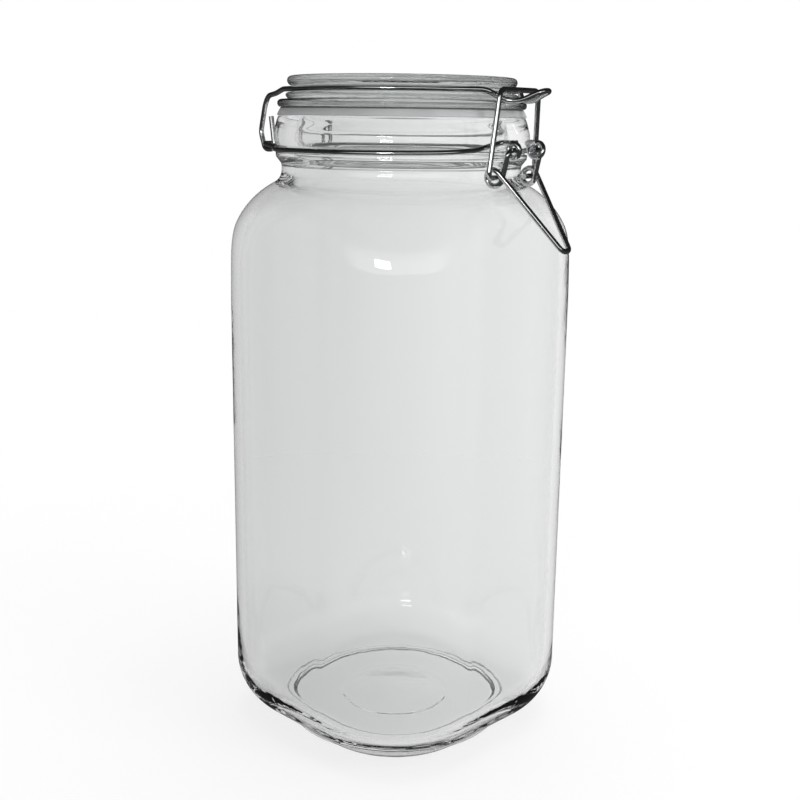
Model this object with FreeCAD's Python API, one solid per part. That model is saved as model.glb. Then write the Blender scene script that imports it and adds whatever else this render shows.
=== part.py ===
"""Two-litre square storage jar with a clip-top glass lid.

A square glass jar with a round neck carries a glass lid, a sealing ring and
four bent steel wires.  The neck wire lies in a groove round the neck; it has
an eyelet on each side of the latch and a straight hinge bar at the back.  The
lid wire lies in a groove round the lid, hooks under the hinge bar and ends in
a narrow tongue at the latch.  The lever turns in the eyelets, and the link
hangs in the lever's two coils and reaches over the tongue.

Units are millimetres.  +Z is up, +X points from the hinge to the latch, and
Z = 0 is the ring on which the jar stands.  Everything is drawn about the axis
of the round neck and then moved by AXIS_X, so that the whole object is
centred on the origin.  The wires can slip round in the neck's groove, and
here they sit BODY_TURN degrees away from the middle of a face.
"""
import FreeCAD
import Part
import math
import os

V = FreeCAD.Vector

# ---------------------------------------------------------------- dimensions
# glass body
SIDE = 119.0             # across two opposite faces
CORNER_R = 42.0          # upright corners, seen from above
BODY_TURN = -8.5         # the square, against the line from hinge to latch
HEEL_R = 23.0            # rounding between the faces and the underside
FOOT_R = 45.0            # round foot ring that the jar stands on, outer edge
FOOT_H = 1.4             # how far the ring stands below the underside
WALL = 3.4               # side walls
FLOOR = 8.0              # height of the inside of the floor
INNER_HEEL_R = 17.0
DOME_Z = 190.0           # where the shoulder starts to turn in at the corners
DOME_R = 34.0            # radius of the shoulder's curve
DOME_REACH = 67.4        # the shoulder's largest radius about the neck's axis
SHOULDER_BLEND = 12.0    # rounding between the shoulder and the four faces
FOOT_INNER_R = 42.3      # the ring's inner edge
PUNT_R = 25.0            # shallow round push-up in the middle of the recess
PUNT_DEPTH = 1.9

# neck and mouth
NECK_R = 46.3
NECK_FOOT_BLEND = 5.5
COLLAR_R = 48.5
GROOVE_R = 47.5          # groove for the neck wire
BEAD_R = 49.3            # thick bead above the groove
LIP_R = 47.2
MOUTH_R = 41.6
MOUTH_Z = 245.4          # top of the glass, under the sealing ring

# sealing ring
SEAL_TOP_Z = 248.4
SEAL_TOP_R = 46.4
SEAL_R = 47.9
SEAL_HOLE_R = 41.3

# lid
LID_TOP_Z = 260.0
LID_RIM_R = 44.0
LID_GROOVE_R = 40.4
LID_BEAD_R = 44.7
LID_FLANGE_R = 47.8
LID_PLUG_R = 41.0
LID_PLUG_Z = 242.8       # lowest point of the part that enters the mouth

# wires
WIRE = 2.0               # diameter of all four wires
NECK_WIRE_R = GROOVE_R + WIRE / 2 + 0.2
NECK_WIRE_Z = 232.7
LID_WIRE_R = LID_GROOVE_R + WIRE / 2 + 0.1
LID_WIRE_Z = 255.05
EYELET_R = 2.6           # centre line of the neck wire's eyelets
COIL_R = 2.9             # centre line of the lever's coils

# hinge at the back
HINGE_BAR = (-56.0, 234.2)       # x and z of the straight bar
HINGE_HALF = 17.6                # half its length
HOOK_Y = 14.0                    # the lid wire's two hooks
HOOK_R = 2.4                     # centre line of a hook, about the bar
HOOK_END_Z = 244.8
LEG_BELLY = (4.8, 238.6)         # the hook's leg bows out this far, here

# latch at the front
PIVOT = (55.4, 234.0)            # x and z of the lever's pivot
COIL = (50.2, 224.3)             # x and z of the link's pivot, at rest
LEVER_TIP = (73.9, 199.0)        # x and z of the lever's rounded end
LEVER_TIP_HALF = 2.6             # half the width of that end
LINK_BAR = (52.4, 255.0)         # x and z of the link's top bar, at rest
EYELET_Y = (8.9, 6.7)            # each eyelet winds from the first to the second
ARM_Y = 11.2                     # lever's short arm
LEG_Y = 13.3                     # lever's long leg, where it leaves the coil
TONGUE_END_X = 63.6

# the neck's axis in the object's frame: it lies midway between the lever's
# tip and the farthest point of the turned square, 74.9 before it and 61.9 behind
AXIS_X = -6.5


# ------------------------------------------------------------------- helpers
def save(shape, name):
    """Move a finished solid to the object's frame and write it."""
    shape = shape.copy()
    shape.translate(V(AXIS_X, 0, 0))
    solids = shape.Solids
    assert len(solids) == 1, (name, len(solids))
    solid = solids[0]
    assert solid.isValid(), name
    b = solid.optimalBoundingBox()
    print("%-10s volume %9.1f mm3  x %.2f..%.2f  y %.2f..%.2f  z %.2f..%.2f"
          % (name, solid.Volume, b.XMin, b.XMax, b.YMin, b.YMax, b.ZMin, b.ZMax))
    solid.exportStep("parts/%s.step" % name)
    return solid


def rounded_square(side, radius, z):
    """Face of a square with rounded corners, centred on the axis."""
    h, r = side / 2, radius
    k = r * (1 - math.sqrt(0.5))
    edges = []
    corners = [(1, 1), (-1, 1), (-1, -1), (1, -1)]
    for i, (sx, sy) in enumerate(corners):
        a = V(sx * h, sy * (h - r), z)
        m = V(sx * (h - k), sy * (h - k), z)
        b = V(sx * (h - r), sy * h, z)
        if sx * sy < 0:
            a, b = b, a
        edges.append(Part.Arc(a, m, b).toShape())
    for i in range(4):
        p = edges[i].Vertexes[-1].Point
        q = edges[(i + 1) % 4].Vertexes[0].Point
        edges.append(Part.LineSegment(p, q).toShape())
    return Part.Face(Part.Wire(Part.__sortEdges__(edges)))


def prism(side, radius, z0, z1):
    return rounded_square(side, radius, z0).extrude(V(0, 0, z1 - z0))


def edges_at_height(solid, z, tol=0.01):
    return [e for e in solid.Edges
            if abs(e.BoundBox.ZMin - z) < tol and abs(e.BoundBox.ZMax - z) < tol]


def profile(start, *steps):
    """Closed outline in the XZ plane.

    A step (x, z) is a straight line to that point; (xm, zm, x, z) is an arc
    through (xm, zm) to (x, z).
    """
    edges, p = [], V(start[0], 0, start[1])
    first = p
    for s in steps:
        q = V(s[-2], 0, s[-1])
        if len(s) == 2:
            edges.append(Part.LineSegment(p, q).toShape())
        else:
            edges.append(Part.Arc(p, V(s[0], 0, s[1]), q).toShape())
        p = q
    if p.distanceToPoint(first) > 1e-6:
        edges.append(Part.LineSegment(p, first).toShape())
    return Part.Face(Part.Wire(edges))


def turned(face):
    return face.revolve(V(0, 0, 0), V(0, 0, 1), 360)


def bent_wire(name, points):
    """Round wire along straight runs joined by tangent bends.

    Each point is (x, y, z, bend radius); the first and last have none.
    """
    P = [V(*p[:3]) for p in points]
    edges, at, length = [], P[0], 0.0
    used = 0.0
    for i in range(1, len(P) - 1):
        u, w = P[i] - P[i - 1], P[i + 1] - P[i]
        lu, lw = u.Length, w.Length
        u.normalize()
        w.normalize()
        turn = u.getAngle(w)
        if turn < 1e-6:
            continue
        t = points[i][3] * math.tan(turn / 2)
        room = min(lu - used, lw - (0 if i == len(P) - 2 else 0.02))
        if t > room:
            t = room
        r = t / math.tan(turn / 2)
        a, b = P[i] - u * t, P[i] + w * t
        if at.distanceToPoint(a) > 1e-3:
            edges.append(Part.LineSegment(at, a).toShape())
        else:
            a = at
        to_centre = (w - u)
        to_centre.normalize()
        m = P[i] + to_centre * (r / math.cos(turn / 2) - r)
        edges.append(Part.Arc(a, m, b).toShape())
        at, used = b, t
    edges.append(Part.LineSegment(at, P[-1]).toShape())
    length = sum(e.Length for e in edges)
    path = Part.Wire(edges)
    start = P[1] - P[0]
    ring = Part.Wire(Part.Circle(P[0], start, WIRE / 2).toShape())
    tube = path.makePipeShell([ring], True, False)
    solid = tube.Solids[0] if tube.Solids else Part.Solid(tube)
    if solid.Volume < 0:
        solid.reverse()
    ratio = solid.Volume / (math.pi * WIRE ** 2 / 4 * length)
    print("%-10s wire length %.1f mm, volume over section x length %.4f"
          % (name, length, ratio))
    return solid


def mirrored(half):
    """A symmetric wire from its half on the +Y side, given from its middle."""
    return [(x, -y, z, r) for x, y, z, r in reversed(half)] + list(half)


def arc_points(radius, a0, a1, z, n):
    """Corner points whose bends of the given radius follow a level arc."""
    step = (a1 - a0) / n
    out = []
    for i in range(n):
        a = math.radians(a0 + step * (i + 0.5))
        k = radius / math.cos(math.radians(step / 2))
        out.append((k * math.cos(a), k * math.sin(a), z, radius))
    return out


def loop_points(centre, radius, a0, turn, y0, y1, n):
    """Corner points of an upright loop that winds sideways from y0 to y1."""
    step = turn / n
    k = radius / math.cos(math.radians(abs(step) / 2))
    out = []
    for i in range(n):
        a = math.radians(a0 + step * (i + 0.5))
        y = y0 + (y1 - y0) * (i + 0.5) / n
        out.append((centre[0] + k * math.cos(a), y, centre[1] + k * math.sin(a), radius))
    return out


# --------------------------------------------------------------- glass body
def jar_body():
    # the four faces and the heel, up to the underside of the neck
    outer = prism(SIDE, CORNER_R, FOOT_H, MOUTH_Z + 5)
    outer = outer.makeFillet(HEEL_R, edges_at_height(outer, FOOT_H))

    # the shoulder is one curve turned about the neck's axis
    cx = DOME_REACH - DOME_R
    neck_z = DOME_Z + math.sqrt(DOME_R ** 2 - (NECK_R - cx) ** 2)
    mid = math.radians(30)
    dome = turned(profile(
        (0, -1), (DOME_REACH, -1), (DOME_REACH, DOME_Z),
        (cx + DOME_R * math.cos(mid), DOME_Z + DOME_R * math.sin(mid), NECK_R, neck_z),
        (0, neck_z)))
    body = outer.common(dome)
    rim = [e for e in body.Edges
           if DOME_Z - 5 < e.BoundBox.ZMin and e.BoundBox.ZMax < neck_z - 1
           and e.BoundBox.ZMax - e.BoundBox.ZMin > 0.05]
    try:
        body = body.makeFillet(SHOULDER_BLEND, rim)
    except Exception as err:
        print("shoulder blend left out:", err)

    # neck, collar, wire groove, bead and lip, turned as one piece
    z = NECK_WIRE_Z
    neck = turned(profile(
        (0, neck_z - 6), (NECK_R - 1, neck_z - 6), (NECK_R, neck_z - 1),
        (NECK_R, 227.2), (COLLAR_R, 230.0), (COLLAR_R, z - 1.2), (GROOVE_R, z - 1.0),
        (GROOVE_R, z + 0.9), (COLLAR_R, z + 1.5),
        (49.1, z + 2.2, BEAD_R, z + 3.6), (BEAD_R, 239.2), (47.95, 243.6),
        (47.8, 244.8, LIP_R, MOUTH_Z), (0, MOUTH_Z)))
    body = body.fuse(neck).removeSplitter()
    foot = [e for e in body.Edges
            if abs(e.BoundBox.ZMax - e.BoundBox.ZMin) < 0.01
            and neck_z - 3 < e.BoundBox.ZMin < neck_z + 1
            and abs(e.BoundBox.XMax - NECK_R) < 1.0]
    try:
        body = body.makeFillet(NECK_FOOT_BLEND, foot)
    except Exception as err:
        print("neck foot blend left out:", err)

    # the inside follows the outside at the wall's thickness
    inner = prism(SIDE - 2 * WALL, CORNER_R - WALL, FLOOR, MOUTH_Z)
    inner = inner.makeFillet(INNER_HEEL_R, edges_at_height(inner, FLOOR))
    ri = DOME_R - WALL
    bore_z = DOME_Z + math.sqrt(ri ** 2 - (MOUTH_R - cx) ** 2)
    inner_dome = turned(profile(
        (0, FLOOR - 1), (cx + ri, FLOOR - 1), (cx + ri, DOME_Z),
        (cx + ri * math.cos(mid), DOME_Z + ri * math.sin(mid), MOUTH_R, bore_z),
        (0, bore_z)))
    cavity = inner.common(inner_dome)
    edge = [e for e in cavity.Edges
            if DOME_Z - 5 < e.BoundBox.ZMin and e.BoundBox.ZMax < bore_z - 1
            and e.BoundBox.ZMax - e.BoundBox.ZMin > 0.05]
    try:
        cavity = cavity.makeFillet(SHOULDER_BLEND - WALL, edge)
    except Exception as err:
        print("inner shoulder blend left out:", err)
    bore = turned(profile(
        (0, bore_z - 4), (MOUTH_R, bore_z - 4), (MOUTH_R, MOUTH_Z - 1.2),
        (MOUTH_R + 0.35, MOUTH_Z - 0.35, MOUTH_R + 1.2, MOUTH_Z),
        (MOUTH_R + 1.2, MOUTH_Z + 2), (0, MOUTH_Z + 2)))
    cavity = cavity.fuse(bore).removeSplitter()
    body = body.cut(cavity)

    # the foot ring, rounded below, runs up into the heel on every side
    lip = 0.6
    ring = turned(profile(
        (FOOT_INNER_R, 6), (FOOT_INNER_R, lip),
        (FOOT_INNER_R + 0.3 * lip, 0.3 * lip, FOOT_INNER_R + lip, 0),
        (FOOT_R - lip, 0), (FOOT_R - 0.3 * lip, 0.3 * lip, FOOT_R, lip), (FOOT_R, 6)))
    body = body.fuse(ring)

    # a shallow round push-up in the middle of the underside
    ball = (PUNT_R ** 2 + PUNT_DEPTH ** 2) / (2 * PUNT_DEPTH)
    punt = Part.makeSphere(ball, V(0, 0, FOOT_H + PUNT_DEPTH - ball))
    punt = punt.common(Part.makeCylinder(PUNT_R + 1, 20, V(0, 0, FOOT_H - 0.3)))
    body = body.cut(punt)
    body.rotate(V(0, 0, 0), V(0, 0, 1), BODY_TURN)
    return body


# ------------------------------------------------------- lid and sealing ring
def lid():
    top = LID_TOP_Z
    g = LID_WIRE_Z
    return turned(profile(
        (0, top - 1.9), (36.5, top - 1.6), (38.6, top - 1.2, 40.2, top - 0.4),
        (41.6, top, 43.1, top - 0.7), (LID_RIM_R, top - 2.2, 43.0, g + 1.35),
        (LID_GROOVE_R + 0.2, g + 1.15), (LID_GROOVE_R, g + 0.8), (LID_GROOVE_R, g - 0.8),
        (LID_GROOVE_R + 0.3, g - 1.15), (43.4, g - 1.15),
        (LID_BEAD_R, g - 2.1, 43.8, 251.6), (44.3, 251.3), (46.6, 251.3),
        (LID_FLANGE_R, 250.0, 47.5, SEAL_TOP_Z + 0.3), (47.1, SEAL_TOP_Z),
        (LID_PLUG_R, SEAL_TOP_Z), (LID_PLUG_R - 0.4, LID_PLUG_Z + 1.2),
        (LID_PLUG_R - 0.7, LID_PLUG_Z + 0.2, LID_PLUG_R - 1.8, LID_PLUG_Z),
        (LID_PLUG_R - 3.4, LID_PLUG_Z), (36.7, 243.1, 36.5, 244.2), (35.9, 249.6),
        (34.8, 252.6, 31.6, 253.8), (0, 254.2)))


def seal():
    return turned(profile(
        (SEAL_HOLE_R, MOUTH_Z), (SEAL_HOLE_R, SEAL_TOP_Z), (SEAL_TOP_R, SEAL_TOP_Z),
        (47.3, 246.9, SEAL_R, 245.5), (SEAL_R - 0.3, MOUTH_Z - 0.25),
        (LIP_R + 0.25, MOUTH_Z)))


# --------------------------------------------------------------- steel wires
def neck_wire():
    """Ring in the neck groove, hinge bar at the back, eyelets at the latch."""
    r, z = NECK_WIRE_R, NECK_WIRE_Z
    back, front = 150.0, 46.0        # where the ring leaves the groove
    a = math.radians(back)
    bend = (r * math.cos(a) - 3.0 * math.sin(a), r * math.sin(a) + 3.0 * math.cos(a))
    half = [(HINGE_BAR[0], HINGE_HALF, HINGE_BAR[1], 3.0),
            (bend[0], bend[1], z, 3.4)]
    half += arc_points(r, back, front, z, 3)
    # the wire then climbs slowly round the neck to the top of the eyelet
    at = lambda k, deg, h: (k * math.cos(math.radians(deg)),
                            k * math.sin(math.radians(deg)), z + h)
    y0, y1 = EYELET_Y
    top = PIVOT[1] + EYELET_R
    half += [at(49.35, 39.0, 0.3) + (42.0,), at(49.9, 30.0, 0.6) + (36.0,),
             (46.25, 18.6, z + 1.2, 20.0), (50.9, y0, top, 2.2)]
    half += loop_points(PIVOT, EYELET_R, 90, -360, y0, y1, 8)
    half += [(PIVOT[0] + 0.6, y1, top, 0)]
    return bent_wire("neck_wire", mirrored(half))


def lid_wire():
    """Hooks under the hinge bar, two arms in the lid's groove, and a tongue."""
    x, z = HINGE_BAR
    r = LID_WIRE_R
    knee = x - 1.6
    # where the straight run from the knee touches the groove's circle
    d = math.hypot(knee, HOOK_Y)
    off = math.degrees(math.acos(r / d))
    back = 180 - math.degrees(math.atan2(HOOK_Y, -knee)) - off
    a = math.radians(back)
    away = lambda s: (r * math.cos(a) - s * math.sin(a), r * math.sin(a) + s * math.cos(a))
    half = [(x + 0.9, HOOK_Y, HOOK_END_Z, 0),
            (x + HOOK_R + 0.3, HOOK_Y, z - HOOK_R, HOOK_R - 0.2),
            (x - HOOK_R - 0.2, HOOK_Y, z - HOOK_R, HOOK_R - 0.2),
            (x - LEG_BELLY[0], HOOK_Y, LEG_BELLY[1], 7.0),
            (knee, HOOK_Y, 252.6, 7.0),
            away(29.0) + (253.6, 18.0),
            away(19.5) + (LID_WIRE_Z, 18.0)]
    throat = (49.6, 6.6)
    d = math.hypot(*throat)
    front = math.degrees(math.atan2(throat[1], throat[0]) + math.acos(r / d))
    half += arc_points(r, back, front, LID_WIRE_Z, 2)
    b = math.radians(front)
    half += [(r * math.cos(b) + 21.5 * math.sin(b), r * math.sin(b) - 21.5 * math.cos(b),
              LID_WIRE_Z, 10.0),
             (throat[0], throat[1], 251.8, 6.0),
             (52.8, 4.9, 251.1, 12.0),
             (56.4, 4.1, 251.6, 12.0),
             (60.2, 3.1, 253.4, 12.0),
             (TONGUE_END_X, 2.2, 254.7, 2.1)]
    return bent_wire("lid_wire", half + [(px, -py, pz, pr) for px, py, pz, pr in reversed(half)])


def lever():
    """Pivot ends, short arms, coils, and two long legs that meet at the tip."""
    px, pz = PIVOT
    cx, cz = COIL
    d = math.hypot(cx - px, cz - pz)
    towards = math.degrees(math.atan2(cz - pz, cx - px))
    arm = towards + math.degrees(math.asin(COIL_R / d))          # arm's heading
    tip = math.hypot(LEVER_TIP[0] - cx, LEVER_TIP[1] - cz)
    leg = math.degrees(math.atan2(LEVER_TIP[1] - cz, LEVER_TIP[0] - cx)
                       - math.asin(COIL_R / tip))                # leg's heading
    turn = (arm - leg) % 360
    half = [(LEVER_TIP[0], LEVER_TIP_HALF, LEVER_TIP[1], LEVER_TIP_HALF - 0.1)]
    coil = loop_points(COIL, COIL_R, arm + 90, -turn, ARM_Y, LEG_Y, 7)
    half += list(reversed(coil))
    half += [(px, ARM_Y, pz, 2.0), (px, EYELET_Y[1] - 2.0, pz, 0)]
    return bent_wire("lever", mirrored(half))


def link():
    """Top bar, two legs, and ends that pass through the lever's coils."""
    half = [(LINK_BAR[0], 13.2, LINK_BAR[1], 3.0),
            (COIL[0], LEG_Y + WIRE + 0.6, COIL[1], 2.0),
            (COIL[0], ARM_Y - 2.6, COIL[1], 0)]
    return bent_wire("link", mirrored(half))


# --------------------------------------------------------------------- build
os.makedirs("parts", exist_ok=True)
nodes = {
    "jar_body": jar_body(),
    "lid": lid(),
    "gasket": seal(),
    "neck_wire": neck_wire(),
    "lid_wire": lid_wire(),
    "lever": lever(),
    "link": link(),
}
for name, shape in nodes.items():
    save(shape, name)
glass = (nodes["jar_body"].Volume + nodes["lid"].Volume) * 2.5e-6
wires = sum(nodes[n].Volume for n in ("neck_wire", "lid_wire", "lever", "link")) * 7.85e-6
print("axis at x = %.3f" % AXIS_X)
print("mass: glass %.3f kg, wires %.3f kg, ring %.3f kg"
      % (glass, wires, nodes["gasket"].Volume * 1.15e-6))
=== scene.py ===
# %% [markdown]
# # A square clip-top storage jar
# The jar is a moulded glass body with a pressed glass lid, a sealing ring and
# four bent steel wires.  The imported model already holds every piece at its
# true size and place.  It loads first, and every later step works from it:
# the steel wires keep their shape and get a finish, and the three round pieces
# are made again here with finer surfaces, because glass bends light and shows
# every flat.

# %% Load the frame
import math
import bpy
import bmesh
from mathutils import Matrix, Vector


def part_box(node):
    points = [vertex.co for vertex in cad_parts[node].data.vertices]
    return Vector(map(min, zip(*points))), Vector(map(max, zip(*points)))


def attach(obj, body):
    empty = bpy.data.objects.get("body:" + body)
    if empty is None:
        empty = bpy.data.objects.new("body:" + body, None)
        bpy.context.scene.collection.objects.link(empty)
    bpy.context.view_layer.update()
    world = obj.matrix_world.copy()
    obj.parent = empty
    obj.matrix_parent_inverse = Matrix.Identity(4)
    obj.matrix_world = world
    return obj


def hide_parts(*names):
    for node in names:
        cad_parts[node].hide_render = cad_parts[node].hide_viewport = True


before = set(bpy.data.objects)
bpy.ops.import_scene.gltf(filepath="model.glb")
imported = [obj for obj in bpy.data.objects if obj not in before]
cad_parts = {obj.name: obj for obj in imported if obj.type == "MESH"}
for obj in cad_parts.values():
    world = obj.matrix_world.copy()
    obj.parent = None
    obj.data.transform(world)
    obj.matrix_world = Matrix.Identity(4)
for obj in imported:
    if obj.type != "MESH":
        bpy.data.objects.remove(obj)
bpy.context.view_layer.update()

print("frame:", {n: len(o.data.polygons) for n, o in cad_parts.items()})

# %% [markdown]
# Everything round on this jar turns about one upright line, the middle of its
# neck.  The line isn't at the origin, because the latch stands out further
# than the hinge, so its place is read from the lid's own box.  Sizes are
# easier to read in millimetres, so one small name turns them into metres.

# %% The neck's axis
MM = 0.001
lid_low, lid_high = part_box("lid")
axis_x = (lid_low.x + lid_high.x) / 2
print("axis at x = %.2f mm" % (axis_x / MM))

# %% [markdown]
# A lathe shape needs only half its outline.  The outline is drawn as a pen
# would draw it: a vertex is pulled out into straight runs, and turned about a
# centre for each curve.  Both moves are mesh operators, extrude and spin, so
# the outline is a chain of edges that the next step can spin into a solid.

# %% A pen for outlines
class Pen:
    """Draws half an outline, as radius and height in millimetres."""

    def __init__(self, radius, height):
        self.bm = bmesh.new()
        self.tip = self.bm.verts.new((radius * MM, 0, height * MM))
        self.corners = []

    def line(self, radius, height, parts=1, soften=0.0):
        """A straight run to a point; soften rounds the corner it ends in."""
        start = self.tip.co.copy()
        goal = Vector((radius * MM, 0, height * MM))
        for i in range(1, parts + 1):
            step = bmesh.ops.extrude_vert_indiv(self.bm, verts=[self.tip])
            self.tip = step["verts"][0]
            self.tip.co = start.lerp(goal, i / parts)
        if soften:
            self.corners.append((self.tip, soften * MM))
        return self

    def turn(self, radius, height, degrees, parts):
        """A curve about a centre; positive turns from +X towards +Z."""
        made = bmesh.ops.spin(self.bm, geom=[self.tip], angle=math.radians(-degrees),
                              cent=(radius * MM, 0, height * MM), axis=(0, 1, 0),
                              steps=parts)
        self.tip = made["geom_last"][0]
        return self

    def spin(self, name, steps):
        """Rounds the marked corners, then spins the outline about the axis."""
        for corner, size in self.corners:
            bmesh.ops.bevel(self.bm, geom=[corner], offset=size, offset_type="OFFSET",
                            segments=4, profile=0.5, affect="VERTICES", material=-1)
        bmesh.ops.spin(self.bm, geom=self.bm.verts[:] + self.bm.edges[:],
                       angle=math.tau, cent=(0, 0, 0), axis=(0, 0, 1),
                       steps=steps, use_merge=True)
        bmesh.ops.remove_doubles(self.bm, verts=self.bm.verts, dist=1e-6)
        bmesh.ops.dissolve_degenerate(self.bm, edges=self.bm.edges, dist=1e-7)
        bmesh.ops.recalc_face_normals(self.bm, faces=self.bm.faces)
        return self.bm


def finished(bm, name, body, node):
    """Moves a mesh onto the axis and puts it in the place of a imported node."""
    bmesh.ops.translate(bm, verts=bm.verts, vec=(axis_x, 0, 0))
    open_edges = [e for e in bm.edges if not e.is_manifold]
    mesh = bpy.data.meshes.new(name)
    bm.to_mesh(mesh)
    volume = bm.calc_volume() / MM ** 3
    bm.free()
    mesh.shade_smooth()
    piece = bpy.data.objects.new(name, mesh)
    bpy.context.scene.collection.objects.link(piece)
    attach(piece, body)
    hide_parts(node)
    print("%s: %d faces, %.0f mm3, %d open edges"
          % (name, len(mesh.polygons), volume, len(open_edges)))
    return piece

# %% [markdown]
# The jar is blown: a round bubble of glass swells until four flat mould walls
# stop it.  The model is made in the same order.  First the round bubble is
# spun from an outline that runs up the outside, over the lip and down the
# inside.  Two outlines joined by hand would also work, but one closed outline
# gives the wall its true thickness, and glass needs both of its surfaces.
# Underneath, the outline rises to a very shallow punt in two equal arcs that
# bend opposite ways, so that no crease shows through the floor.

# %% Spin the round bubble
SIDE, CORNER, WALL, FLOOR = 119.0, 42.0, 3.4, 8.0
SLACK = SIDE / 2 - CORNER                    # from the middle to a corner's centre
REACH = SLACK * math.sqrt(2) + CORNER        # from the middle to a corner
HEEL, INNER_HEEL = 23.0, 17.0
FOOT_INNER, FOOT_R, FOOT_H = 42.3, 45.0, 1.4
DOME, DOME_Z, DOME_REACH = 34.0, 190.0, 67.4
NECK, NECK_FOOT, MOUTH, MOUTH_FOOT, MOUTH_Z = 46.3, 5.5, 41.6, 8.5, 245.4
PUNT, PUNT_DEPTH = 30.0, 1.15
SEAM, SEAM_STEP = 22.5, 0.4                  # a mould seam under the floor
slope = 2 * math.degrees(math.atan(PUNT_DEPTH / PUNT))
ball = PUNT / 2 / math.sin(math.radians(slope))
heel_x, heel_z, dome_x = REACH - HEEL, FOOT_H + HEEL, DOME_REACH - DOME
heel_start = math.degrees(math.acos((FOOT_R - heel_x) / HEEL))
wire_z = 232.7


def foot_of_neck(radius, blend, curve):
    """Centre height and angle of the blend between a neck and the shoulder."""
    rise = math.sqrt((curve + blend) ** 2 - (radius + blend - dome_x) ** 2)
    return DOME_Z + rise, math.degrees(math.atan2(rise, radius + blend - dome_x))


pen = Pen(0, FOOT_H + PUNT_DEPTH)
pen.turn(0, FOOT_H + PUNT_DEPTH - ball, -slope, 12)
pen.turn(PUNT, FOOT_H + ball, slope, 24)
pen.line(FOOT_INNER - 2.0, FOOT_H, 4, soften=1.0).line(FOOT_INNER + 0.3, 0.0, 2, soften=0.7)
pen.line(FOOT_R, 0.0, 1, soften=0.6)
pen.line(FOOT_R, heel_z - HEEL * math.sin(math.radians(heel_start)))
pen.turn(heel_x, heel_z, heel_start, 30)
pen.line(DOME_REACH, heel_z + 2).line(DOME_REACH, DOME_Z, 40)
blend_z, angle = foot_of_neck(NECK, NECK_FOOT, DOME)
pen.turn(dome_x, DOME_Z, angle, 40)
pen.turn(NECK + NECK_FOOT, blend_z, -angle, 10)
pen.line(NECK, 227.2, 2, soften=0.8)
pen.line(48.5, 230.0, 2, soften=0.6).line(48.5, wire_z - 1.2, 1, soften=0.2)
pen.line(47.5, wire_z - 1.0, 1, soften=0.15).line(47.5, wire_z + 0.9, 1, soften=0.15)
pen.line(48.5, wire_z + 1.5, 1, soften=0.3).line(49.3, wire_z + 3.6, 2, soften=1.0)
pen.line(49.3, 239.2, 3, soften=1.2).line(47.95, 243.9, 3, soften=0.8)
pen.line(47.2, MOUTH_Z, 1, soften=0.4).line(MOUTH + 1.2, MOUTH_Z, 4, soften=0.9)
pen.line(MOUTH, MOUTH_Z - 1.4, 1, soften=0.5)
inner_dome = DOME - WALL
blend_z, angle = foot_of_neck(MOUTH, MOUTH_FOOT, inner_dome)
pen.line(MOUTH, blend_z, 6)
pen.turn(MOUTH + MOUTH_FOOT, blend_z, angle, 12)
pen.turn(dome_x, DOME_Z, -angle, 40)
pen.line(dome_x + inner_dome, FLOOR + INNER_HEEL + 1, 40)
pen.line(REACH - WALL, FLOOR + INNER_HEEL, 1)
pen.turn(REACH - WALL - INNER_HEEL, FLOOR + INNER_HEEL, -90, 20)
pen.line(0, FLOOR, 14)
bubble = pen.spin("jar", 240)
print("bubble: %d faces" % len(bubble.faces))

# %% [markdown]
# The mould has four flat walls and rounded upright corners.  Two functions
# know its outline: one gives its radius in a direction, one tells how far
# inside it a point lies.  A vertex of the wall is pulled back along its own
# radius until it lies on the outline, and a soft minimum of the two radii
# rounds the arch where a wall meets the shoulder.

# %% The mould's outline
def fold(angle):
    """The same direction in the first eighth of the square, where x >= y."""
    return math.radians(abs((math.degrees(angle) + 45) % 90 - 45))


def mould(angle, inset):
    """Distance from the axis to the mould's outline, moved in by an inset."""
    a = fold(angle)
    half, r = SIDE / 2 - inset, CORNER - inset
    if half * math.tan(a) <= SLACK:
        return half / math.cos(a)
    p, q = SLACK * (math.cos(a) + math.sin(a)), SLACK * (math.cos(a) - math.sin(a))
    return p + math.sqrt(max(r * r - q * q, 0))


def depth_inside(angle, radius):
    """How far inside the mould's outline a point lies."""
    a = fold(angle)
    x, y = radius * math.cos(a), radius * math.sin(a)
    if y <= SLACK:
        return SIDE / 2 - x
    return CORNER - math.hypot(x - SLACK, y - SLACK)


def soft_min(a, b, width):
    h = max(width - abs(a - b), 0) / width
    return min(a, b) - h * h * width / 4


def ease(x):
    x = min(max(x, 0), 1)
    return x * x * (3 - 2 * x)


print("mould: %.1f across, %.1f over the corners"
      % (2 * mould(0, 0), 2 * mould(math.pi / 4, 0)))

# %% [markdown]
# The heel is one curve that rolls round the square, and the jar stands on a
# round ring under it.  So the heel starts low on the ring at the corners and
# high on it under the faces, and each vertex of the heel keeps its share of
# the way from the ring up to the wall.  Inside, the floor's corner follows the
# walls, so there the outline shrinks evenly, from square at the wall to round
# in the middle.  The disc inside the mould's seam is stepped down a little.

# %% Where the floor turns square
ROUND_FLOOR, SQUARE_FLOOR, FLOOR_TOP = 25.0, 40.0, 60.0
BASIN_TOP, NECK_BOTTOM = 32.0, 222.0


def floor_edge(angle, r):
    """Radius of the inner floor in a direction, round inside, square outside."""
    edge = min(r, REACH - WALL)
    held = max(edge, SQUARE_FLOOR)
    square = mould(angle, REACH - held) / held
    share = ease((edge - ROUND_FLOOR) / (SQUARE_FLOOR - ROUND_FLOOR))
    return edge * (1 + (square - 1) * share)


print("floor: round to %.0f mm, square from %.0f mm" % (ROUND_FLOOR, SQUARE_FLOOR))

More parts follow.
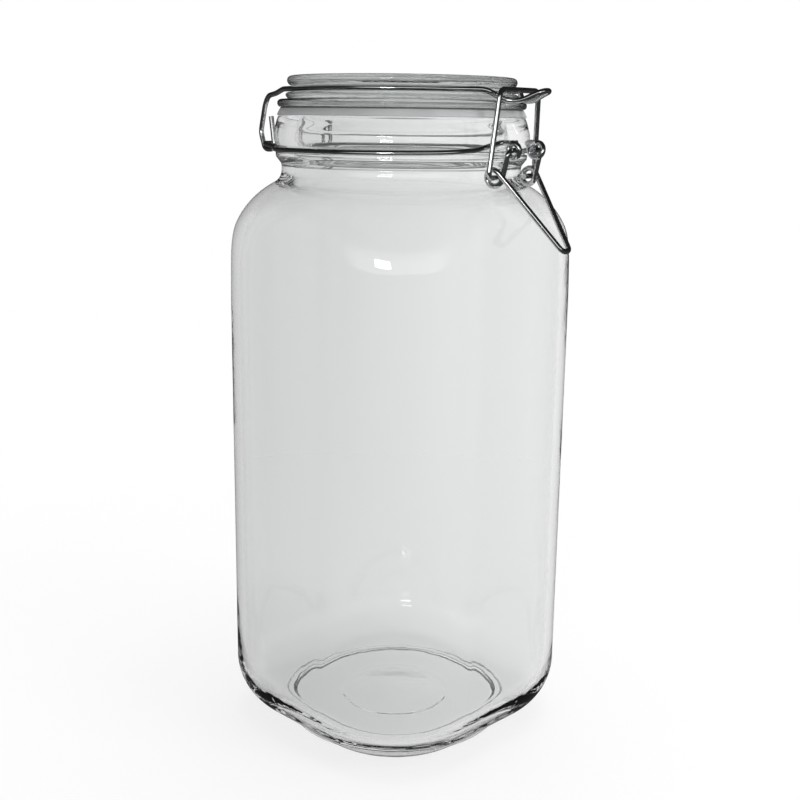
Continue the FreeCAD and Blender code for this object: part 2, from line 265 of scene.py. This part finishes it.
# %% Press the bubble into the mould
def is_inside(r, z):
    """Whether a point of the outline belongs to the wall's inner surface."""
    heel = math.hypot(max(r - heel_x, 0), max(heel_z - z, 0)) < HEEL - 1.2
    dome = z < DOME_Z or math.hypot(r - dome_x, z - DOME_Z) < DOME - 1.2
    return r < DOME_REACH - WALL / 2 and z > FLOOR - 0.5 and heel and dome


pressed, basin = 0, []
for v in bubble.verts:
    r, z = math.hypot(v.co.x, v.co.y) / MM, v.co.z / MM
    inner = is_inside(r, z)
    if z < FLOOR / 2 and r < SEAM:
        v.co.z -= SEAM_STEP * MM
    if z > NECK_BOTTOM or (r < FOOT_R - 0.01 and not inner) or r < ROUND_FLOOR:
        continue
    angle = math.atan2(v.co.y, v.co.x)
    if inner and z < FLOOR_TOP:
        if z < BASIN_TOP:
            basin.append(v)
        new = floor_edge(angle, r)
    elif z < FOOT_H:
        new = r
    elif z < heel_z + 0.01 and not inner:
        start = math.acos((HEEL - depth_inside(angle, FOOT_R)) / HEEL)
        share = math.atan2(heel_z - z, r - heel_x) / math.radians(heel_start)
        new = mould(angle, HEEL * (1 - math.cos(start * share)))
        v.co.z = (heel_z - HEEL * math.sin(start * share)) * MM
    else:
        width = 0.05 + 3.0 * ease((z - 165) / 35)
        new = soft_min(r, mould(angle, WALL if inner else 0.0), width)
    v.co.x *= new / r
    v.co.y *= new / r
    pressed += 1
print("pressed %d vertices; %.2f mm across the faces"
      % (pressed, 2 * max(v.co.y for v in bubble.verts) / MM))

# %% [markdown]
# Molten glass rounds off its own inside corner.  A few passes of smoothing do
# the same here, with the floor and the corner above it taken together.  Then
# the square is turned a little: the wires can slip round in the neck's groove,
# and they have.

# %% Ease the inside corner and turn the body
BODY_TURN, EASING = -8.5, 12
for _ in range(EASING):
    bmesh.ops.smooth_vert(bubble, verts=basin, factor=0.5,
                          use_axis_x=True, use_axis_y=True, use_axis_z=True)
bmesh.ops.rotate(bubble, verts=bubble.verts, cent=(0, 0, 0),
                 matrix=Matrix.Rotation(math.radians(BODY_TURN), 3, "Z"))
jar = finished(bubble, "jar_glass", "jar", "jar_body")

# %% [markdown]
# The lid is pressed glass, so it is fully round.  Its outline shows the whole
# working of the closure: the rim on top, the groove that the wire lies in, the
# bead under it, the flange that bears on the sealing ring, and the plug that
# centres the lid in the mouth.

# %% Spin the lid
top, groove = 260.0, 255.05
pen = Pen(0, top - 1.9)
pen.line(36.5, top - 1.6, 12, soften=1.5).line(41.0, top, 3, soften=1.2)
pen.line(43.6, top - 0.3, 2, soften=1.0).line(44.1, top - 2.2, 1, soften=0.8)
pen.line(43.0, groove + 1.3, 1, soften=0.5).line(40.5, groove + 1.15, 2, soften=0.25)
pen.line(40.4, groove - 1.1, 2, soften=0.25).line(43.7, groove - 1.15, 2, soften=0.7)
pen.line(44.9, groove - 2.1, 1, soften=0.8).line(43.7, 251.4, 2, soften=0.3)
pen.line(47.4, 251.2, 2, soften=0.9).line(47.9, 249.4, 1, soften=0.7)
pen.line(47.1, 248.4, 1, soften=0.4).line(41.0, 248.4, 4, soften=0.3)
pen.line(40.5, 243.0, 3, soften=0.9).line(37.0, 242.8, 2, soften=0.8)
pen.line(35.6, 253.9, 6, soften=3.0).line(0, 254.2, 10)
lid = finished(pen.spin("lid", 240), "lid_glass", "jar", "lid")

# %% [markdown]
# The sealing ring is a soft ring clamped between the lid and the lip.  It
# swells a little where nothing holds it, so its free edge stands out past the
# flange and droops to a thin point.

# %% Spin the sealing ring
pen = Pen(41.35, 245.4)
pen.line(41.35, 248.4, 2, soften=0.2).line(46.4, 248.4, 3, soften=0.2)
pen.line(47.3, 246.9, 2, soften=0.6).line(47.9, 245.5, 2, soften=0.15)
pen.line(47.55, 245.2, 1, soften=0.1).line(47.3, 245.4, 1).line(41.35, 245.4, 3)
seal = finished(pen.spin("seal", 240), "sealing_ring", "jar", "gasket")

# %% [markdown]
# Finishes are written as arithmetic.  A number that varies over a surface is
# wrapped in one small class, so that adding or multiplying two of them adds
# the Math node that does it.  Every other node comes from one method that sets
# a node's options first and then its inputs.

# %% Arithmetic on sockets
class Value:
    """A varying number: an output socket that arithmetic can be done on."""

    def __init__(self, finish, socket):
        self.finish, self.socket = finish, socket

    def math(self, operation, *operands, clamp=False):
        node = self.finish.tree.nodes.new("ShaderNodeMath")
        node.operation, node.use_clamp = operation, clamp
        for slot, operand in zip(node.inputs, operands):
            self.finish.feed(slot, operand)
        return Value(self.finish, node.outputs[0])

    def __add__(self, other): return self.math("ADD", self, other)
    def __radd__(self, other): return self.math("ADD", other, self)
    def __sub__(self, other): return self.math("SUBTRACT", self, other)
    def __rsub__(self, other): return self.math("SUBTRACT", other, self)
    def __mul__(self, other): return self.math("MULTIPLY", self, other)
    def __rmul__(self, other): return self.math("MULTIPLY", other, self)
    def __truediv__(self, other): return self.math("DIVIDE", self, other)
    def __pow__(self, other): return self.math("POWER", self, other)
    def at_most(self, high): return self.math("MINIMUM", self, high)

    def between(self, low, high):
        """0 at low, 1 at high, clamped outside."""
        return self.math("MULTIPLY", self - low, 1 / (high - low), clamp=True)


class Finish:
    """A material, or the world, with its nodes made by one method."""

    def __init__(self, owner):
        owner.use_nodes = True
        self.owner, self.tree = owner, owner.node_tree
        self.tree.nodes.clear()

    def feed(self, slot, given):
        if isinstance(given, Value):
            given = given.socket
        if isinstance(given, bpy.types.NodeSocket):
            self.tree.links.new(given, slot)
        else:
            slot.default_value = given

    def node(self, kind, settings=None, **inputs):
        node = self.tree.nodes.new(kind)
        for name, setting in (settings or {}).items():
            setattr(node, name, setting)
        for name, given in inputs.items():
            numbered = name[0] == "_" and name[1:].isdigit()
            key = int(name[1:]) if numbered else name.replace("_", " ")
            self.feed(node.inputs[key], given)
        return node

    def value(self, node, output=0):
        return Value(self, node.outputs[output])

    def noise(self, place, scale, detail=2.0, rough=0.5):
        node = self.node("ShaderNodeTexNoise", Vector=place, Scale=scale,
                         Detail=detail, Roughness=rough)
        return self.value(node, "Fac")

# %% [markdown]
# Clear glass has almost no colour of its own.  What shows is what it bends and
# mirrors, so its surface matters most.  Moulded glass is never quite flat: it
# keeps long soft waves from the mould, and these wander the reflections.  The
# waves are a very low bump, and the faint grey of thick glass is the base
# colour.  The lid's darker grey is partly that grey and partly painted shade,
# standing in for the dark reflections the lid shows.

# %% Moulded glass
def glass_finish(name, tint, wave_height, wave_scale):
    finish = Finish(bpy.data.materials.new(name))
    place = finish.node("ShaderNodeTexCoord").outputs["Object"]
    slow = finish.noise(place, wave_scale, 1.0)
    fine = finish.noise(place, wave_scale * 6, 2.0)
    waves = slow + 0.12 * fine
    bump = finish.node("ShaderNodeBump", Strength=1.0, Distance=wave_height,
                       Height=waves)
    smear = finish.noise(place, 35.0, 3.0).between(0.45, 0.75)
    shade = finish.node("ShaderNodeMix", {"data_type": "RGBA"}, Factor=slow.between(0.3, 0.7),
                        A=(*[0.995 * t for t in tint], 1), B=(*tint, 1))
    surface = finish.node("ShaderNodeBsdfPrincipled", IOR=1.5,
                          Base_Color=shade.outputs["Result"],
                          Roughness=0.004 + 0.012 * smear, Normal=bump.outputs[0])
    surface.inputs["Transmission Weight"].default_value = 1.0
    finish.node("ShaderNodeOutputMaterial", Surface=surface.outputs[0])
    return finish.owner


jar.data.materials.append(glass_finish("moulded_glass", (0.885, 0.89, 0.89), 0.0005, 14.0))
# The lid's darker tint is partly painted shade, standing in for its dark reflections.
lid.data.materials.append(glass_finish("pressed_glass", (0.66, 0.67, 0.67), 0.0003, 30.0))
print("glass:", [m.name for m in bpy.data.materials if "glass" in m.name])

# %% [markdown]
# The ring is a whitish rubber that light passes into.  A little of the light
# goes straight through, most is scattered under the surface, and the surface
# itself is dull with a fine grain.  Where the ring's upper outer edge meets
# the lid no light gets in between them, and that shade is painted: a thin dark
# grey band in the colour at that height and radius.

# %% Whitish rubber
finish = Finish(bpy.data.materials.new("sealing_rubber"))
place = finish.node("ShaderNodeTexCoord").outputs["Object"]
grain = finish.noise(place, 900.0, 3.0)
cloud = finish.noise(place, 60.0, 2.0)
shade = finish.node("ShaderNodeMix", {"data_type": "RGBA"}, Factor=cloud.between(0.3, 0.7),
                    A=(0.56, 0.575, 0.58, 1), B=(0.66, 0.67, 0.675, 1))
centred = finish.node("ShaderNodeMapping", Vector=place, Location=(-axis_x, 0, 0))
x, y, z = (finish.value(finish.node("ShaderNodeSeparateXYZ", Vector=centred.outputs[0]), axis)
           for axis in "XYZ")
radius = (x * x + y * y) ** 0.5
# Painted shade: a dark grey band along the ring's upper outer edge, under the lid's flange.
painted_joint_shade = z.between(0.2477, 0.2480) * radius.between(0.0460, 0.0462)
shade = finish.node("ShaderNodeMix", {"data_type": "RGBA"}, Factor=painted_joint_shade,
                    A=shade.outputs["Result"], B=(0.16, 0.16, 0.16, 1))
bump = finish.node("ShaderNodeBump", Strength=0.4, Distance=0.00006, Height=grain)
surface = finish.node("ShaderNodeBsdfPrincipled", Base_Color=shade.outputs["Result"],
                      Roughness=0.38 + 0.15 * cloud, IOR=1.45, Normal=bump.outputs[0])
surface.inputs["Transmission Weight"].default_value = 0.35
finish.node("ShaderNodeOutputMaterial", Surface=surface.outputs[0])
seal.data.materials.append(finish.owner)
print("ring:", finish.owner.name)

# %% [markdown]
# The wires are bright drawn steel.  Drawing leaves hair-fine marks along the
# wire, which spread the highlight, and handling dulls it in patches.  Both
# belong in the roughness and a very shallow bump; the metal's colour hardly
# changes.

# %% Drawn steel
finish = Finish(bpy.data.materials.new("drawn_steel"))
place = finish.node("ShaderNodeTexCoord").outputs["Object"]
patches = finish.noise(place, 120.0, 3.0)
marks = finish.noise(place, 1600.0, 4.0)
shade = finish.node("ShaderNodeMix", {"data_type": "RGBA"}, Factor=patches.between(0.3, 0.7),
                    A=(0.50, 0.51, 0.52, 1), B=(0.62, 0.625, 0.63, 1))
bump = finish.node("ShaderNodeBump", Strength=0.15, Distance=0.00002, Height=marks)
surface = finish.node("ShaderNodeBsdfPrincipled", Base_Color=shade.outputs["Result"],
                      Roughness=0.06 + 0.10 * patches, Metallic=1.0, Normal=bump.outputs[0])
finish.node("ShaderNodeOutputMaterial", Surface=surface.outputs[0])
for name in ("neck_wire", "lid_wire", "lever", "link"):
    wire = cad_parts[name]
    wire.data.materials.clear()
    wire.data.materials.append(finish.owner)
print("steel:", finish.owner.name)

# %% [markdown]
# The floor is one large pale sheet.  Seen by the camera or through glass it is
# nearly all glow, so that it reads as white, and the small part that is paint
# keeps the jar's shadow.  Through glass the glow is a little weaker on one side,
# which gives the walls a slow change of tone.  In a reflection the floor is
# dark, because a bright one would fill the wires' dark lower edges.

# %% The floor
bm = bmesh.new()
bmesh.ops.create_grid(bm, x_segments=8, y_segments=8, size=6.0)
bmesh.ops.translate(bm, verts=bm.verts, vec=(0, 0, -0.0002))
mesh = bpy.data.meshes.new("floor")
bm.to_mesh(mesh)
bm.free()
floor = bpy.data.objects.new("floor", mesh)
bpy.context.scene.collection.objects.link(floor)
finish = Finish(bpy.data.materials.new("pale_floor"))
path = finish.node("ShaderNodeLightPath")
place = finish.node("ShaderNodeTexCoord").outputs["Object"]
away = finish.value(finish.node("ShaderNodeVectorMath", {"operation": "LENGTH"},
                                _0=place), "Value")
camera_ray = finish.value(path, "Is Camera Ray")
through = finish.value(path, "Is Transmission Ray")
mirrored = finish.value(path, "Is Glossy Ray") * (1.0 - through)
share = (0.80 + 0.20 * away.between(0.12, 0.40)) * (camera_ray + through).at_most(1.0)
paint = finish.node("ShaderNodeBsdfDiffuse", Color=(0.8, 0.8, 0.8, 1))
ground = finish.node("ShaderNodeSeparateXYZ", Vector=place)
across = 0.80 * finish.value(ground, "X") + 0.60 * finish.value(ground, "Y")
side = (across / (away + 0.5)).between(-0.12, 0.12)
glow = finish.node("ShaderNodeEmission", Color=(1, 1, 1, 1),
                   Strength=camera_ray + (0.83 + 0.26 * side) * through)
dim = finish.node("ShaderNodeEmission", Color=(1, 1, 1, 1), Strength=0.06)
mixed = finish.node("ShaderNodeMixShader", _0=share, _1=paint.outputs[0],
                    _2=glow.outputs[0])
mixed = finish.node("ShaderNodeMixShader", _0=mirrored, _1=mixed.outputs[0],
                    _2=dim.outputs[0])
finish.node("ShaderNodeOutputMaterial", Surface=mixed.outputs[0])
floor.data.materials.append(finish.owner)
print("floor: %d faces" % len(mesh.polygons))

# %% [markdown]
# Glass and steel are drawn by contrast.  Under an even white sky glass nearly
# vanishes and steel turns flat grey, so a studio hangs dark cards beside them.
# Here the sky does that work.  Through glass it is white low down and darker
# overhead, on the same slow change of tone as the floor.  In a reflection it is
# dark, with one bright window low in front.

# %% The sky
world = bpy.data.worlds.new("studio")
bpy.context.scene.world = world
finish = Finish(world)
path = finish.node("ShaderNodeLightPath")
direction = finish.node("ShaderNodeSeparateXYZ",
                        Vector=finish.node("ShaderNodeTexCoord").outputs["Generated"])
x, y, z = (finish.value(direction, axis) for axis in "XYZ")
camera_ray = finish.value(path, "Is Camera Ray")
through = finish.value(path, "Is Transmission Ray") * (1.0 - camera_ray)
mirrored = finish.value(path, "Is Glossy Ray") * (1.0 - through) * (1.0 - camera_ray)
rest = 1.0 - camera_ray - through - mirrored
side = (0.80 * x + 0.60 * y).between(-0.12, 0.12)
seen_through = (0.83 + 0.26 * side) * (1.0 - 0.5 * z.between(0.25, 0.6))
front = 0.55 * x - 0.83 * y
window = front.between(0.62, 0.82) * (0.34 - z).between(0.0, 0.26)
seen_mirrored = 0.02 + 1.6 * window
level = camera_ray + seen_through * through + seen_mirrored * mirrored + 0.55 * rest
sky = finish.node("ShaderNodeBackground", Color=(1, 1, 1, 1), Strength=level)
finish.node("ShaderNodeOutputWorld", Surface=sky.outputs[0])
print("sky: white for the camera, 0.55 as light")

# %% [markdown]
# Three soft boxes light the jar: a small low one in front that draws the
# sparkle on the neck, a wide one on the right, and one overhead.  Glass and
# steel show a box as a shape, so only the small one is seen in them.

# %% Soft boxes
def soft_box(name, place, target, width, height, power, seen=False):
    lamp = bpy.data.lights.new(name, "AREA")
    lamp.shape, lamp.size, lamp.size_y, lamp.energy = "RECTANGLE", width, height, power
    obj = bpy.data.objects.new(name, lamp)
    bpy.context.scene.collection.objects.link(obj)
    obj.visible_glossy = obj.visible_transmission = seen
    aim = (Vector(target) - Vector(place)).to_track_quat("-Z", "Y")
    obj.matrix_world = Matrix.Translation(place) @ aim.to_matrix().to_4x4()
    print("%s: %.1f W" % (name, power))


soft_box("box_front", (0.55, -1.40, 0.31), (0, 0, 0.235), 0.34, 0.14, 2.4, seen=True)
soft_box("box_right", (1.2, 0.1, 0.7), (0, 0, 0.14), 0.6, 0.9, 9.0)
soft_box("box_top", (0.0, 0.2, 1.3), (0, 0, 0.1), 0.9, 0.9, 10.0)

# %% [markdown]
# The camera stands at the height of the lid and looks slightly down, close
# enough for the base to look rounder than the neck.  It goes round the neck's
# axis, so its place is written as an angle, a distance and a height.

# %% The camera
TURN, DISTANCE, EYE = math.radians(36.5), 0.473, 0.2442
DOWN, ASIDE, TILT = 0.2305, -0.0015, 0.0133
eye = bpy.data.cameras.new("camera")
eye.lens, eye.sensor_width = 36 * 1195 / 800, 36.0
camera = bpy.data.objects.new("camera", eye)
bpy.context.scene.collection.objects.link(camera)
camera.matrix_world = (
    Matrix.Translation((axis_x + DISTANCE * math.sin(TURN), -DISTANCE * math.cos(TURN), EYE))
    @ Matrix.Rotation(TURN + ASIDE, 4, "Z")
    @ Matrix.Rotation(math.pi / 2 - DOWN, 4, "X")
    @ Matrix.Rotation(TILT, 4, "Z"))
bpy.context.scene.camera = camera
bpy.context.scene.view_settings.view_transform = "Standard"
print("camera: %.1f mm lens, %.0f mm away" % (eye.lens, DISTANCE / MM))

# %% [markdown]
# Light that enters the thick glass at the base is turned back inside it many
# times before it gets out.  The usual limits stop following it after a few
# turns and leave the base black, so they are raised.

# %% Follow light further through glass
light_paths = bpy.context.scene.cycles
light_paths.max_bounces = light_paths.transmission_bounces = 24
light_paths.glossy_bounces = 16
print("light is followed for %d bounces" % light_paths.max_bounces)
